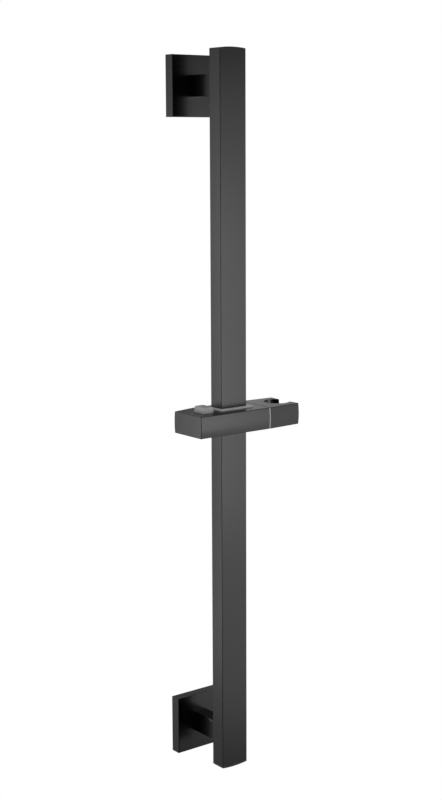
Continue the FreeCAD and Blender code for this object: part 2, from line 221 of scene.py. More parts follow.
class SlideRailScrews(PropertyGroup):
    """Sizes of the screws' threads and grips."""

    pitch: length("Pitch", 0.001, "Distance from one thread to the next")
    depth: length("Thread depth", 0.00055, "From the thread's crest to its root")
    knurl: length("Knurl", 0.00022, "Size of the grip ridges around a socket head")
    knurls: IntProperty(
        name="Knurls",
        description="Number of grip ridges around a socket head",
        default=48,
        min=12,
        max=90,
    )


class SlideRailSpring(PropertyGroup):
    """Sizes of the coil spring under the button."""

    coil: length("Coil radius", 0.0021, "From the spring's axis to the middle of its wire")
    wire: length("Wire radius", 0.0003, "Half the wire's thickness")
    turns: FloatProperty(
        name="Turns", description="Turns from end to end", default=7.0, min=4, max=20
    )


class SlideRailStudio(PropertyGroup):
    """Camera, floor and lamps."""

    camera_place: FloatVectorProperty(
        name="Camera",
        description="Where the camera stands",
        default=(-0.84784, -1.14671, 0.57378),
        subtype="TRANSLATION",
    )
    camera_heading: angle("Heading", 37.595, "Turn from the wall's normal to the right")
    camera_tilt: angle("Tilt", -9.823, "Upward tilt of the camera")
    camera_roll: angle("Roll", -0.256, "Turn about the line of sight")
    focal: FloatProperty(
        name="Focal length", description="Lens, in millimetres on a 36 mm frame", default=66.397
    )
    floor_drop: length("Floor drop", 0.9, "How far the floor lies below the lower bracket")
    front_lamp: power("Front lamp", 8.0, "Power of the tall lamp at the front right")
    front_heart: power("Front lamp's heart", 4.7, "Power of the brighter middle of the front lamp")
    side_lamp: power("Side lamp", 11.5, "Power of the tall lamp behind on the left")
    side_heart: power("Side lamp's heart", 2.1, "Power of the brighter middle of the side lamp")
    top_lamp: power("Top lamp", 3.5, "Power of the lamp overhead")
    fill: share("Fill", 0.3, "Level of the light that the studio walls return")
    high_wall: share("Walls higher up", 0.85, "How bright gloss shows the walls above eye level")
    camera_side: share("Camera's side", 0.1, "How bright gloss shows the room around the camera")
    gloss_floor: share("Floor in gloss", 0.5, "How bright gloss shows the floor")


# Node trees


def add(tree, kind, inputs=None, **settings):
    """A node with its settings, whose inputs take values or other nodes' outputs."""
    node = tree.nodes.new(kind)
    for name, value in settings.items():
        setattr(node, name, value)
    for name, value in (inputs or {}).items():
        if isinstance(value, NodeSocket):
            tree.links.new(value, node.inputs[name])
        else:
            node.inputs[name].default_value = value
    return node


def calculate(tree, operation, first, second=0.0, third=0.0):
    """The result of a sum."""
    inputs = {0: first, 1: second, 2: third}
    return add(tree, "ShaderNodeMath", inputs, operation=operation).outputs[0]


def sums(tree):
    """A tree's plainest sums: plus, minus and times."""
    return [partial(calculate, tree, operation) for operation in ("ADD", "SUBTRACT", "MULTIPLY")]


def blend_colours(tree, amount, low, high):
    """A mix of two colours by an amount. The first may be another node's output."""
    first = low if isinstance(low, NodeSocket) else (*low, 1)
    mix = add(tree, "ShaderNodeMix", {0: amount, 6: first, 7: (*high, 1)}, data_type="RGBA")
    return mix.outputs[2]


def spread(tree, value, low, high, start=0.3, end=0.7):
    """A noise value brought to a range."""
    inputs = {"Value": value, "From Min": start, "From Max": end, "To Min": low, "To Max": high}
    return add(tree, "ShaderNodeMapRange", inputs).outputs[0]


def noise(tree, place, scale, detail=2.0, roughness=0.5):
    """Noise with a number of grains per metre."""
    inputs = {"Vector": place, "Scale": scale, "Detail": detail, "Roughness": roughness}
    return add(tree, "ShaderNodeTexNoise", inputs).outputs[0]


def toned(tree, amount, tone, low, high=1.0):
    """A colour that wanders between a darker and a lighter share of a tone."""
    ends = [[min(1.0, level * c) for c in tone] for level in (low, high)]
    return blend_colours(tree, amount, *ends)


# Finishes


def new_finish(metallic, ior=1.5):
    """A material with an empty tree but its shader, and its pattern's place."""
    finish = bpy.data.materials.new("finish")
    finish.use_nodes = True
    tree = finish.node_tree
    shader = tree.nodes["Principled BSDF"]
    shader.inputs["Metallic"].default_value = metallic
    shader.inputs["IOR"].default_value = ior
    place = add(tree, "ShaderNodeTexCoord").outputs["Object"]
    return finish, tree, shader, place


def dress(tree, shader, tone, roughness, height, depth):
    """Gives a shader its colour, its roughness and a relief of a depth in metres."""
    tree.links.new(tone, shader.inputs["Base Color"])
    tree.links.new(roughness, shader.inputs["Roughness"])
    bump = add(tree, "ShaderNodeBump", {"Height": height, "Distance": depth, "Strength": 1.0})
    tree.links.new(bump.outputs[0], shader.inputs["Normal"])


def satin_black_coat(grain):
    """Satin black coat: fine orange peel, a cloudy gloss, and paler on sharp edges, partly as thin
    coat wear and partly as a painted edge highlight.
    """
    given = bpy.context.scene.slide_rail_finishes
    finish, tree, shader, place = new_finish(0.0, 1.38)
    cloud = noise(tree, place, 38, 3)
    peel = noise(tree, place, grain)
    speck = noise(tree, place, grain * 5)
    height = calculate(tree, "MULTIPLY_ADD", speck, 0.35, peel)
    tone = toned(tree, spread(tree, cloud, 0, 1), given.coat_colour, 0.8)
    edge = add(tree, "ShaderNodeAttribute", attribute_name="edge").outputs["Fac"]
    # Sharp edges three times paler: thin coat wear and a painted highlight where rounded edges
    # would catch light
    tone = blend_colours(tree, edge, tone, [3 * c for c in given.coat_colour])
    gloss = spread(tree, cloud, given.coat_gloss - 0.01, given.coat_gloss + 0.012)
    dress(tree, shader, tone, gloss, height, 0.000004)
    return finish


def grey_moulding(tone):
    """Light grey plastic with a fine spark-eroded grain."""
    finish, tree, shader, place = new_finish(0.0, 1.48)
    cloud = noise(tree, place, 120)
    grain = noise(tree, place, 5200, 3, 0.6)
    tone = toned(tree, spread(tree, cloud, 0, 1), tone, 0.96, 1.04)
    dress(tree, shader, tone, spread(tree, grain, 0.42, 0.52), grain, 0.00001)
    return finish


def black_nylon():
    """Black nylon with a matt grain."""
    given = bpy.context.scene.slide_rail_finishes
    finish, tree, shader, place = new_finish(0.0, 1.53)
    grain = noise(tree, place, 3800, 3, 0.6)
    tone = toned(tree, grain, given.nylon_colour, 0.8)
    dress(tree, shader, tone, spread(tree, grain, 0.45, 0.58), grain, 0.00002)
    return finish


def black_rubber():
    """Black rubber, dull, with a cloth-pressed grain."""
    given = bpy.context.scene.slide_rail_finishes
    finish, tree, shader, place = new_finish(0.0, 1.52)
    cells = add(tree, "ShaderNodeTexVoronoi", {"Vector": place, "Scale": 1600})
    grain = cells.outputs["Distance"]
    dust = noise(tree, place, 700, 3)
    tone = toned(tree, spread(tree, dust, 0, 1), given.rubber_colour, 1.0, 2.2)
    dress(tree, shader, tone, spread(tree, grain, 0.7, 0.85, 0, 1), grain, 0.00004)
    return finish


def plated_zinc():
    """Bright zinc over rolled steel: long rolling marks and a cloudy, slightly blue spangle."""
    given = bpy.context.scene.slide_rail_finishes
    finish, tree, shader, place = new_finish(1.0)
    stretch = {"Vector": place, "Scale": (1.0, 1.0, 0.04)}
    rolled = noise(tree, add(tree, "ShaderNodeMapping", stretch).outputs[0], 2600, 3, 0.6)
    cloud = noise(tree, place, 160, 3)
    tone = toned(tree, spread(tree, cloud, 0, 1), given.zinc_colour, 0.86)
    dress(tree, shader, tone, spread(tree, rolled, 0.3, 0.44), rolled, 0.000008)
    return finish


def bright_steel():
    """Stainless steel with faint turning marks."""
    given = bpy.context.scene.slide_rail_finishes
    finish, tree, shader, place = new_finish(1.0)
    from_axis = add(tree, "ShaderNodeAttribute", attribute_name="from_axis").outputs["Fac"]
    rings = calculate(tree, "SINE", calculate(tree, "MULTIPLY", from_axis, 16000))
    handled = noise(tree, place, 420, 3)
    tone = toned(tree, spread(tree, handled, 0, 1), given.steel_colour, 0.88)
    dress(tree, shader, tone, spread(tree, handled, 0.22, 0.34), rings, 0.000003)
    return finish


def turned_brass():
    """Turned brass, slightly tarnished."""
    given = bpy.context.scene.slide_rail_finishes
    finish, tree, shader, place = new_finish(1.0)
    stretch = {"Vector": place, "Scale": (1.0, 0.02, 0.02)}
    grooves = noise(tree, add(tree, "ShaderNodeMapping", stretch).outputs[0], 5200)
    tarnish = noise(tree, place, 300, 3)
    tone = toned(tree, spread(tree, tarnish, 0, 1), given.brass_colour, 0.75)
    dress(tree, shader, tone, spread(tree, tarnish, 0.24, 0.36), grooves, 0.000006)
    return finish


def finish_for(slot):
    """The material of a slot, made when it is first asked for."""
    given = bpy.context.scene.slide_rail_finishes
    makers = {
        "satin_black_metal": partial(satin_black_coat, grain=900),
        "satin_black_plastic": partial(satin_black_coat, grain=1500),
        "light_grey_plastic": partial(grey_moulding, given.moulding_colour),
        # The bushes' paler grey, partly painted light on the thin flange shaded by the rail
        "pale bush": partial(grey_moulding, given.bush_lit_colour),
        "black_nylon": black_nylon,
        "black_rubber": black_rubber,
        "zinc_steel": plated_zinc,
        "stainless_steel": bright_steel,
        "brass": turned_brass,
    }
    name = f"finish {slot}"
    made = bpy.data.materials.get(name)
    if made is None:
        made = makers[slot]()
        made.name = name
    return made


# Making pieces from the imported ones


def merged_copy(node):
    """A node's shape as one closed mesh with whole flat faces."""
    same_point, flat = 2e-6, math.radians(0.4)
    shape = bmesh.new()
    shape.from_mesh(frame["nodes"][node].data)
    bmesh.ops.remove_doubles(shape, verts=shape.verts, dist=same_point)
    bmesh.ops.dissolve_limit(shape, angle_limit=flat, verts=shape.verts, edges=shape.edges)
    return shape


def mark_edges(mesh):
    """Stores how sharply each point's surface turns outwards, for the coat to be paler there: thin
    coat wear and a painted edge highlight.
    """
    least, narrowest = 1e-7, 5e-5
    blunt, to_sharp = 150, 700
    shape = bmesh.new()
    shape.from_mesh(mesh)
    values = [0.0] * len(shape.verts)
    for line in shape.edges:
        if len(line.link_faces) != 2 or not line.is_convex:
            continue
        area = min(face.calc_area() for face in line.link_faces)
        width = area / max(line.calc_length(), least)
        sharpness = line.calc_face_angle(0.0) / max(width, narrowest)
        # How much paler the coat is here: partly wear, partly a painted highlight on the edge
        wear_and_highlight = min(1.0, max(0.0, (sharpness - blunt) / to_sharp))
        for corner in line.verts:
            values[corner.index] = max(values[corner.index], wear_and_highlight)
    shape.free()
    layer = mesh.attributes.new("edge", "FLOAT", "POINT")
    layer.data.foreach_set("value", values)


def new_piece(name, mesh):
    """An object of a mesh, in the scene."""
    piece = bpy.data.objects.new(name, mesh)
    bpy.context.scene.collection.objects.link(piece)
    return piece


def settle(piece):
    """Turns a piece's modifiers into its own mesh."""
    depsgraph = bpy.context.evaluated_depsgraph_get()
    shown = piece.evaluated_get(depsgraph)
    mesh = bpy.data.meshes.new_from_object(
        shown, preserve_all_data_layers=True, depsgraph=depsgraph
    )
    piece.modifiers.clear()
    piece.data = mesh
    mesh.name = piece.name


def stand_for(piece, node):
    """Makes a piece take a node's place, body and finish."""
    slot = slot_of_node[node]
    piece.data.materials.clear()
    piece.data.materials.append(finish_for(slot))
    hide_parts(node)
    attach(piece, body_of_node[node])


def smooth(mesh, sharp=35):
    """Smooth shading, but for edges sharper than a number of degrees."""
    mesh.polygons.foreach_set("use_smooth", [True] * len(mesh.polygons))
    mesh.set_sharp_from_angle(angle=math.radians(sharp))


def weigh_edges(shape, sharp=28):
    """Marks the outer edges sharper than a number of degrees, to be rounded."""
    weight = shape.edges.layers.float.new("bevel_weight_edge")
    for line in shape.edges:
        outwards = len(line.link_faces) == 2 and line.is_convex
        if outwards and line.calc_face_angle(0.0) > math.radians(sharp):
            line[weight] = 1.0


def ease_edges(node, width, segments=2):
    """A copy of a piece with its sharp edges rounded, standing for it."""
    shape = merged_copy(node)
    weigh_edges(shape)
    mesh = bpy.data.meshes.new(node + "_finished")
    shape.to_mesh(mesh)
    shape.free()
    piece = new_piece(node + "_finished", mesh)
    rounding = piece.modifiers.new("Rounded edges", "BEVEL")
    rounding.width = width
    rounding.segments = segments
    rounding.limit_method = "WEIGHT"
    rounding.use_clamp_overlap = True
    settle(piece)
    smooth(piece.data)
    keep_shading(piece.data, node)
    mark_edges(piece.data)
    stand_for(piece, node)
    return piece


def packed_normal(packed, faces, point, towards):
    """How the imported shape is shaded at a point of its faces, or None away from them."""
    reach, same_face, same_turn = 4e-6, 0.985, 0.96
    best, best_match = None, same_face
    for _, normal, index, _ in faces.find_nearest_range(point, reach):
        match = normal.dot(towards)
        if match > best_match:
            best, best_match = index, match
    if best is None:
        return None
    source = packed.polygons[best]
    corners = [packed.vertices[v].co for v in source.vertices]
    flat = [Vector((0, 0, 0)), Vector((1, 0, 0)), Vector((0, 1, 0))]
    shares = barycentric_transform(point, *corners, *flat)
    second, third = shares.x, shares.y
    made = [packed.corner_normals[loop].vector for loop in source.loop_indices]
    normal = made[0] * (1 - second - third) + made[1] * second + made[2] * third
    if normal.length > 0.5 and normal.normalized().dot(towards) > same_turn:
        return normal.normalized()
    return None


def keep_shading(mesh, node):
    """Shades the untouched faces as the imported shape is, and the rounded ones to meet them."""
    near_enough = 0.7
    packed = frame["nodes"][node].data
    points = [vertex.co for vertex in packed.vertices]
    faces = BVHTree.FromPolygons(points, [face.vertices for face in packed.polygons])
    chosen = [None] * len(mesh.loops)
    at_point = {}
    for face in mesh.polygons:
        for number in face.loop_indices:
            corner = mesh.loops[number].vertex_index
            normal = packed_normal(packed, faces, mesh.vertices[corner].co, face.normal)
            if normal is not None:
                chosen[number] = normal
                at_point.setdefault(corner, []).append(normal)
    plain = mesh.corner_normals
    for face in mesh.polygons:
        for number in face.loop_indices:
            if chosen[number] is None:
                known = at_point.get(mesh.loops[number].vertex_index, ())
                nearest = max(known, key=face.normal.dot, default=None)
                close = nearest is not None and nearest.dot(face.normal) > near_enough
                chosen[number] = nearest if close else plain[number].vector.copy()
    mesh.normals_split_custom_set(chosen)


def shade_as_made(node):
    """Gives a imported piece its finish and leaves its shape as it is."""
    packed = frame["nodes"][node]
    packed.data.materials.clear()
    packed.data.materials.append(finish_for(slot_of_node[node]))


def span_of(node):
    """The middle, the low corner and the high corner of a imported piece."""
    low, high = (Vector(corner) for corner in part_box(node))
    return (low + high) / 2, low, high


# Trees that make the tube, the screws and the spring


def new_shape_tree(name, numbers, counts=()):
    """A tree for a shape, with a named input for each number and count, and for the finish."""
    tree = bpy.data.node_groups.new(name, "GeometryNodeTree")
    tree.interface.new_socket(name="Shape", in_out="OUTPUT", socket_type="NodeSocketGeometry")
    sizes = {label: "NodeSocketFloat" for label in numbers}
    sizes.update({label: "NodeSocketInt" for label in counts})
    sizes["Finish"] = "NodeSocketMaterial"
    for label, kind in sizes.items():
        tree.interface.new_socket(name=label, in_out="INPUT", socket_type=kind)
    start = tree.nodes.new("NodeGroupInput")
    end = tree.nodes.new("NodeGroupOutput")
    return tree, start.outputs, end.inputs


def grown_piece(name, tree, values):
    """The piece that a tree makes from values for its named inputs, as a plain mesh."""
    piece = new_piece(name, bpy.data.meshes.new(name))
    growth = piece.modifiers.new("Shape", "NODES")
    growth.node_group = tree
    for item in tree.interface.items_tree:
        if item.in_out == "INPUT":
            growth[item.identifier] = values[item.name]
    settle(piece)
    if not piece.data.polygons:
        raise RuntimeError(f"{name} has no faces")
    return piece


def vector_of(tree, x=0.0, y=0.0, z=0.0):
    """A place from three numbers."""
    return add(tree, "ShaderNodeCombineXYZ", {0: x, 1: y, 2: z}).outputs[0]


def moved(tree, shape, place):
    """A shape moved to a place."""
    return add(tree, "GeometryNodeTransform", {0: shape, "Translation": place}).outputs[0]


def raised(tree, shape, level):
    """A shape moved up to a level."""
    return moved(tree, shape, vector_of(tree, z=level))


def bar_up(tree, radius, low, height, corners=48):
    """A round bar, or one with few corners, from a low level upwards."""
    inputs = {"Vertices": corners, "Radius": radius, "Depth": height}
    bar = add(tree, "GeometryNodeMeshCylinder", inputs).outputs[0]
    return raised(tree, bar, calculate(tree, "MULTIPLY_ADD", height, 0.5, low))


def taper_up(tree, low_radius, high_radius, low, height, corners=48):
    """A round bar that tapers from a low level upwards."""
    inputs = {"Vertices": corners, "Radius Bottom": low_radius, "Radius Top": high_radius}
    cone = add(tree, "GeometryNodeMeshCone", {**inputs, "Depth": height}).outputs[0]
    return raised(tree, cone, low)


def put_together(tree, shapes):
    """Shapes side by side as one."""
    whole = add(tree, "GeometryNodeJoinGeometry")
    for shape in shapes:
        tree.links.new(shape, whole.inputs[0])
    return whole.outputs[0]


def united(tree, shapes):
    """Overlapping solids as one."""
    union = add(tree, "GeometryNodeMeshBoolean", operation="UNION", solver="EXACT")
    for shape in shapes:
        tree.links.new(shape, union.inputs["Mesh 2"])
    return union.outputs[0]


def cut_out(tree, shape, cutters):
    """A solid with other solids taken away."""
    inputs = {"Mesh 1": shape}
    cut = add(tree, "GeometryNodeMeshBoolean", inputs, operation="DIFFERENCE", solver="EXACT")
    for cutter in cutters:
        tree.links.new(cutter, cut.inputs["Mesh 2"])
    return cut.outputs[0]


def swept(tree, path, section):
    """A closed bar with a section, along a path."""
    inputs = {"Curve": path, "Profile Curve": section, "Fill Caps": True}
    return add(tree, "GeometryNodeCurveToMesh", inputs).outputs[0]


def ring_curve(tree, points, radius):
    """A round curve, or one with few points."""
    inputs = {"Resolution": points, "Radius": radius}
    return add(tree, "GeometryNodeCurvePrimitiveCircle", inputs).outputs[0]


def helix_up(tree, radius, height, turns, points):
    """A helix up Z from the origin, with a number of points to a turn."""
    inputs = {"Resolution": points, "Rotations": turns, "Height": height}
    inputs.update({"Start Radius": radius, "End Radius": radius})
    return add(tree, "GeometryNodeCurveSpiral", inputs).outputs[0]


def finish_tree(tree, shape, finish, result):
    """Makes a shape real and gives it its finish."""
    real = add(tree, "GeometryNodeRealizeInstances", {0: shape}).outputs[0]
    dressed = add(tree, "GeometryNodeSetMaterial", {0: real, "Material": finish}).outputs[0]
    tree.links.new(dressed, result[0])


def threaded_helix(tree, given, root, total):
    """A screw's thread: a flank that runs up the shank and out into it at both ends."""
    _, minus, times = sums(tree)
    # Shares of the pitch, and how fast the thread comes up over its first and last turn
    half_flank, first_turn, run_out_rate = 0.46, 0.4, 1.4
    climb = minus(minus(total, given["Thread From"]), given["Pitch"])
    turns = calculate(tree, "DIVIDE", climb, given["Pitch"])
    helix = helix_up(tree, root, climb, turns, 24)
    low = calculate(tree, "MULTIPLY_ADD", given["Pitch"], first_turn, given["Thread From"])
    helix = raised(tree, helix, low)
    helix = add(tree, "GeometryNodeSetCurveNormal", {0: helix}, mode="Z_UP").outputs[0]
    along = add(tree, "GeometryNodeSplineParameter").outputs["Factor"]
    from_end = minus(0.5, calculate(tree, "ABSOLUTE", minus(along, 0.5)))
    run_out = calculate(tree, "MINIMUM", times(times(from_end, turns), run_out_rate), 1.0)
    helix = add(tree, "GeometryNodeSetCurveRadius", {0: helix, "Radius": run_out}).outputs[0]
    size = vector_of(tree, given["Thread Depth"], times(given["Pitch"], half_flank), 1.0)
    inputs = {0: ring_curve(tree, 4, 1.0), "Scale": size}
    flank = add(tree, "GeometryNodeTransform", inputs).outputs[0]
    return swept(tree, helix, flank)


def grip_ridges(tree, given, wall):
    """The ridges around a screw's head, or nothing where their size is nought."""
    share_of_wall, least_size = 0.86, 0.00005
    inputs = {"Vertices": given["Knurls"], "Radius": given["Head Radius"]}
    ring = add(tree, "GeometryNodeMeshCircle", inputs).outputs[0]
    height = calculate(tree, "MULTIPLY", wall, share_of_wall)
    middle = calculate(tree, "MULTIPLY_ADD", wall, 0.5, given["Chamfer"])
    inputs = {"Vertices": 6, "Radius": given["Knurl Size"], "Depth": height}
    ridge = add(tree, "GeometryNodeMeshCylinder", inputs).outputs[0]
    inputs = {"Points": raised(tree, ring, middle), "Instance": ridge}
    ridges = add(tree, "GeometryNodeInstanceOnPoints", inputs).outputs[0]
    wanted = calculate(tree, "GREATER_THAN", given["Knurl Size"], least_size)
    inputs = {"Switch": wanted, "False": put_together(tree, ()), "True": ridges}
    return add(tree, "GeometryNodeSwitch", inputs, input_type="GEOMETRY").outputs[0]


def screw_tree():
    """A socket screw from its key's face at the origin, up Z: grip, head, shank and thread."""
    numbers = ("Head Radius", "Head Height", "Chamfer", "Shank Radius", "Shank Length")
    numbers += ("Thread From", "Thread Depth", "Pitch", "Key Width", "Key Depth", "Knurl Size")
    tree, given, result = new_shape_tree("Socket screw", numbers, ("Knurls",))
    plus, minus, times = sums(tree)
    chamfer = given["Chamfer"]

    rim = minus(given["Head Radius"], chamfer)
    wall = minus(given["Head Height"], chamfer)
    crown = taper_up(tree, rim, given["Head Radius"], 0.0, chamfer)
    head = bar_up(tree, given["Head Radius"], chamfer, wall)
    total = plus(given["Head Height"], given["Shank Length"])
    root = minus(given["Shank Radius"], given["Thread Depth"])
    plain = minus(given["Thread From"], chamfer)
    shank = bar_up(tree, given["Shank Radius"], chamfer, plain, 40)
    core = bar_up(tree, root, chamfer, minus(total, times(chamfer, 2.0)), 40)
    tip_low, tip_radius = minus(total, chamfer), minus(root, chamfer)
    tip = taper_up(tree, root, tip_radius, tip_low, chamfer, 40)
    solid = united(tree, (crown, head, shank, core, tip))

    across_corners = 1 / math.sqrt(3)
    # The mouth's rim and depth as shares of the key's radius, and its start as one of its depth
    mouth_rim, mouth_depth, proud = 1.24, 1.12, -0.1
    key_radius = times(given["Key Width"], across_corners)
    key_low = times(given["Key Depth"], -1.0)
    key = bar_up(tree, key_radius, key_low, times(given["Key Depth"], 2.0), 6)
    deep = times(key_radius, mouth_depth)
    mouth = taper_up(tree, times(key_radius, mouth_rim), key_radius, times(deep, proud), deep, 24)
    drilled = cut_out(tree, solid, (key, mouth))

    thread = threaded_helix(tree, given, root, total)
    ridges = grip_ridges(tree, given, wall)
    whole = put_together(tree, (drilled, thread, ridges))
    real = add(tree, "GeometryNodeRealizeInstances", {0: whole}).outputs[0]
    place = add(tree, "GeometryNodeInputPosition").outputs[0]
    inputs = {0: place, 1: (1, 1, 0)}
    level = add(tree, "ShaderNodeVectorMath", inputs, operation="MULTIPLY").outputs[0]
    reach = add(tree, "ShaderNodeVectorMath", {0: level}, operation="LENGTH").outputs["Value"]
    inputs = {0: real, "Name": "from_axis", "Value": reach}
    kind = {"data_type": "FLOAT", "domain": "POINT"}
    marked = add(tree, "GeometryNodeStoreNamedAttribute", inputs, **kind).outputs[0]
    finish_tree(tree, marked, given["Finish"], result)
    return tree


def spring_tree():
    """A coil spring up Z from its lower end, with its end turns closed."""
    numbers = ("Coil Radius", "Wire Radius", "Height", "Turns")
    tree, given, result = new_shape_tree("Coil spring", numbers)
    plus, minus, times = sums(tree)
    # The climb of a closed end turn, in radii of the wire
    closed_pitch = 2.08
    rise = minus(given["Height"], times(given["Wire Radius"], 2.0))
    helix = helix_up(tree, given["Coil Radius"], rise, given["Turns"], 36)
    along = add(tree, "GeometryNodeSplineParameter").outputs["Factor"]
    closed = calculate(tree, "DIVIDE", 1.0, given["Turns"])
    opening = minus(1.0, closed)
    lift = times(given["Wire Radius"], closed_pitch)
    open_rise = minus(rise, times(lift, 2.0))
    stretches = ((0.0, closed, lift), (closed, opening, open_rise), (opening, 1.0, lift))
    levels = [spread(tree, along, 0.0, height, *span) for *span, height in stretches]
    wanted = plus(plus(levels[0], levels[1]), levels[2])
    shift = minus(wanted, times(along, rise))
    offset = vector_of(tree, z=plus(shift, given["Wire Radius"]))
    wound = add(tree, "GeometryNodeSetPosition", {0: helix, "Offset": offset}).outputs[0]
    wire = swept(tree, wound, ring_curve(tree, 12, given["Wire Radius"]))
    finish_tree(tree, wire, given["Finish"], result)
    return tree


def rounded_bar(tree, width, depth, corner, height, low=0.0):
    """A rectangular bar with rounded corners, up Z from a low level."""
    corner_steps, same_point = 5, 1e-6
    inputs = {"Width": width, "Height": depth}
    outline = add(tree, "GeometryNodeCurvePrimitiveQuadrilateral", inputs).outputs[0]
    inputs = {0: outline, "Radius": corner, "Count": corner_steps}
    outline = add(tree, "GeometryNodeFilletCurve", inputs, mode="POLY").outputs[0]
    face = add(tree, "GeometryNodeFillCurve", {0: outline}, mode="NGONS").outputs[0]
    face = raised(tree, face, low)
    inputs = {"Mesh": face, "Offset": (0, 0, 1), "Offset Scale": height, "Individual": False}
    sides = add(tree, "GeometryNodeExtrudeMesh", inputs).outputs["Mesh"]
    foot = add(tree, "GeometryNodeFlipFaces", {0: face}).outputs[0]
    inputs = {0: put_together(tree, (sides, foot)), "Distance": same_point}
    return add(tree, "GeometryNodeMergeByDistance", inputs).outputs[0]


def tube_tree():
    """A drawn rectangular tube up Z from the origin, with two screw holes in its back."""
    numbers = ("Width", "Depth", "Wall", "Corner Radius", "Length", "Hole Radius")
    numbers += ("Low Hole", "High Hole")
    tree, given, result = new_shape_tree("Rectangular tube", numbers)
    plus, minus, times = sums(tree)
    inner_corner = 0.0002
    walls = times(given["Wall"], 2.0)
    inner_size = [minus(given[side], walls) for side in ("Width", "Depth")]
    inner_length = plus(given["Length"], walls)
    outer_size = [given[side] for side in ("Width", "Depth", "Corner Radius", "Length")]
    outer = rounded_bar(tree, *outer_size)
    past = times(given["Wall"], -1.0)
    inner = rounded_bar(tree, *inner_size, inner_corner, inner_length, past)
    holes = []
    for level in ("Low Hole", "High Hole"):
        inputs = {"Vertices": 40, "Radius": given["Hole Radius"], "Depth": walls}
        hole = add(tree, "GeometryNodeMeshCylinder", inputs).outputs[0]
        inputs = {0: hole, "Rotation": (math.pi / 2, 0, 0)}
        hole = add(tree, "GeometryNodeTransform", inputs).outputs[0]
        inwards = times(given["Wall"], -0.5)
        back = calculate(tree, "MULTIPLY_ADD", given["Depth"], 0.5, inwards)
        holes.append(moved(tree, hole, vector_of(tree, 0.0, back, given[level])))
    finish_tree(tree, cut_out(tree, outer, (inner, *holes)), given["Finish"], result)
    return tree


def drive_screw(tree, node, direction, sizes):
    """A screw that points along a direction from its key's face, standing for a node."""
    screws = bpy.context.scene.slide_rail_screws
    middle, low, high = span_of(node)
    axis = next(number for number, step in enumerate(direction) if step)
    key_face = middle.copy()
    key_face[axis] = low[axis] if direction[axis] > 0 else high[axis]
    values = {"Thread Depth": screws.depth, "Pitch": screws.pitch}
    values.update({"Knurl Size": 0.0, "Knurls": screws.knurls, **sizes})
    values["Shank Length"] = high[axis] - low[axis] - sizes["Head Height"]
    values["Finish"] = finish_for(slot_of_node[node])
    screw = grown_piece(node + "_threaded", tree, values)
    turn = Vector(direction).to_track_quat("Z", "X").to_matrix().to_4x4()
    screw.data.transform(Matrix.Translation(key_face) @ turn)
    smooth(screw.data, 30)
    stand_for(screw, node)


# Pieces


class SLIDERAIL_OT_dress_rail(Operator):
    """Draw the rail's tube and finish its two end caps"""

    bl_idname = "slide_rail.dress_rail"
    bl_label = "Rail and end caps"

    def execute(self, context):
        tube = context.scene.slide_rail_tube
        middle, low, high = span_of("rail_tube")
        low_hole, high_hole = (
            span_of(end + "_rail_screw")[0].z - low.z for end in ("lower", "upper")
        )
        values = {
            "Width": tube.width,
            "Depth": tube.depth,
            "Wall": tube.wall,
            "Corner Radius": tube.corner,
            "Length": high.z - low.z,
            "Hole Radius": tube.screw_hole,
            "Low Hole": low_hole,
            "High Hole": high_hole,
            "Finish": finish_for(slot_of_node["rail_tube"]),
        }
        piece = grown_piece("rail_tube_drawn", tube_tree(), values)
        piece.data.transform(Matrix.Translation((middle.x, middle.y, low.z)))
        smooth(piece.data, 30)
        even = piece.modifiers.new("Flat faces stay flat", "WEIGHTED_NORMAL")
        even.keep_sharp = True
        settle(piece)
        mark_edges(piece.data)
        stand_for(piece, "rail_tube")
        for end in ("upper", "lower"):
            ease_edges(end + "_end_cap", context.scene.slide_rail_edges.cap_rim)
        return {"FINISHED"}


class SLIDERAIL_OT_dress_brackets(Operator):
    """Finish the two roses with their arms, and the plates that hold them"""

    bl_idname = "slide_rail.dress_brackets"
    bl_label = "Brackets and plates"

    def execute(self, context):
        edges = context.scene.slide_rail_edges
        for end in ("upper", "lower"):
            ease_edges(end + "_bracket", edges.casting)
            ease_edges(end + "_wall_plate", edges.plate)
            ease_edges(end + "_nut_plate", edges.plate)
        return {"FINISHED"}


class SLIDERAIL_OT_dress_slider(Operator):
    """Finish the slider's block, its guide bushes, the release button and the brake"""

    bl_idname = "slide_rail.dress_slider"
    bl_label = "Slider, bushes and button"

    def execute(self, context):
        edges = context.scene.slide_rail_edges
        ease_edges("slider_body", edges.casting)
        for end in ("upper", "lower"):
            bush = ease_edges(end + "_guide_bush", edges.moulding)
            # The bushes take the paler grey: partly their own plastic tone, partly painted light
            # on the shaded flange
            bush.data.materials[0] = finish_for("pale bush")
        ease_edges("release_button", edges.moulding)
        ease_edges("brake_shoe", edges.moulding)
        shade_as_made("brake_pad")
        return {"FINISHED"}


class SLIDERAIL_OT_dress_holder(Operator):
    """Finish the swivelling holder head and its pivot"""

    bl_idname = "slide_rail.dress_holder"
    bl_label = "Holder head and swivel"

    def execute(self, context):
        edges = context.scene.slide_rail_edges
        ease_edges("holder_head", edges.casting, 3)
        ease_edges("friction_washer", edges.moulding)
        shade_as_made("swivel_sleeve")
        shade_as_made("swivel_spring")
        return {"FINISHED"}


class SLIDERAIL_OT_thread_screws(Operator):
    """Make the threaded screws that hold rail, roses and holder head"""

    bl_idname = "slide_rail.thread_screws"
    bl_label = "Screws"

    def execute(self, context):
        tree = screw_tree()
        knurl = context.scene.slide_rail_screws.knurl
        gripped = {"Head Radius": rail_screw["Head Radius"] - knurl, "Knurl Size": knurl}
        for end in ("upper", "lower"):
            drive_screw(tree, end + "_rail_screw", (0, -1, 0), {**rail_screw, **gripped})
            drive_screw(tree, end + "_grub_screw", (0, 0, 1), grub_screw)
        drive_screw(tree, "swivel_screw", (-1, 0, 0), swivel_screw)
        return {"FINISHED"}


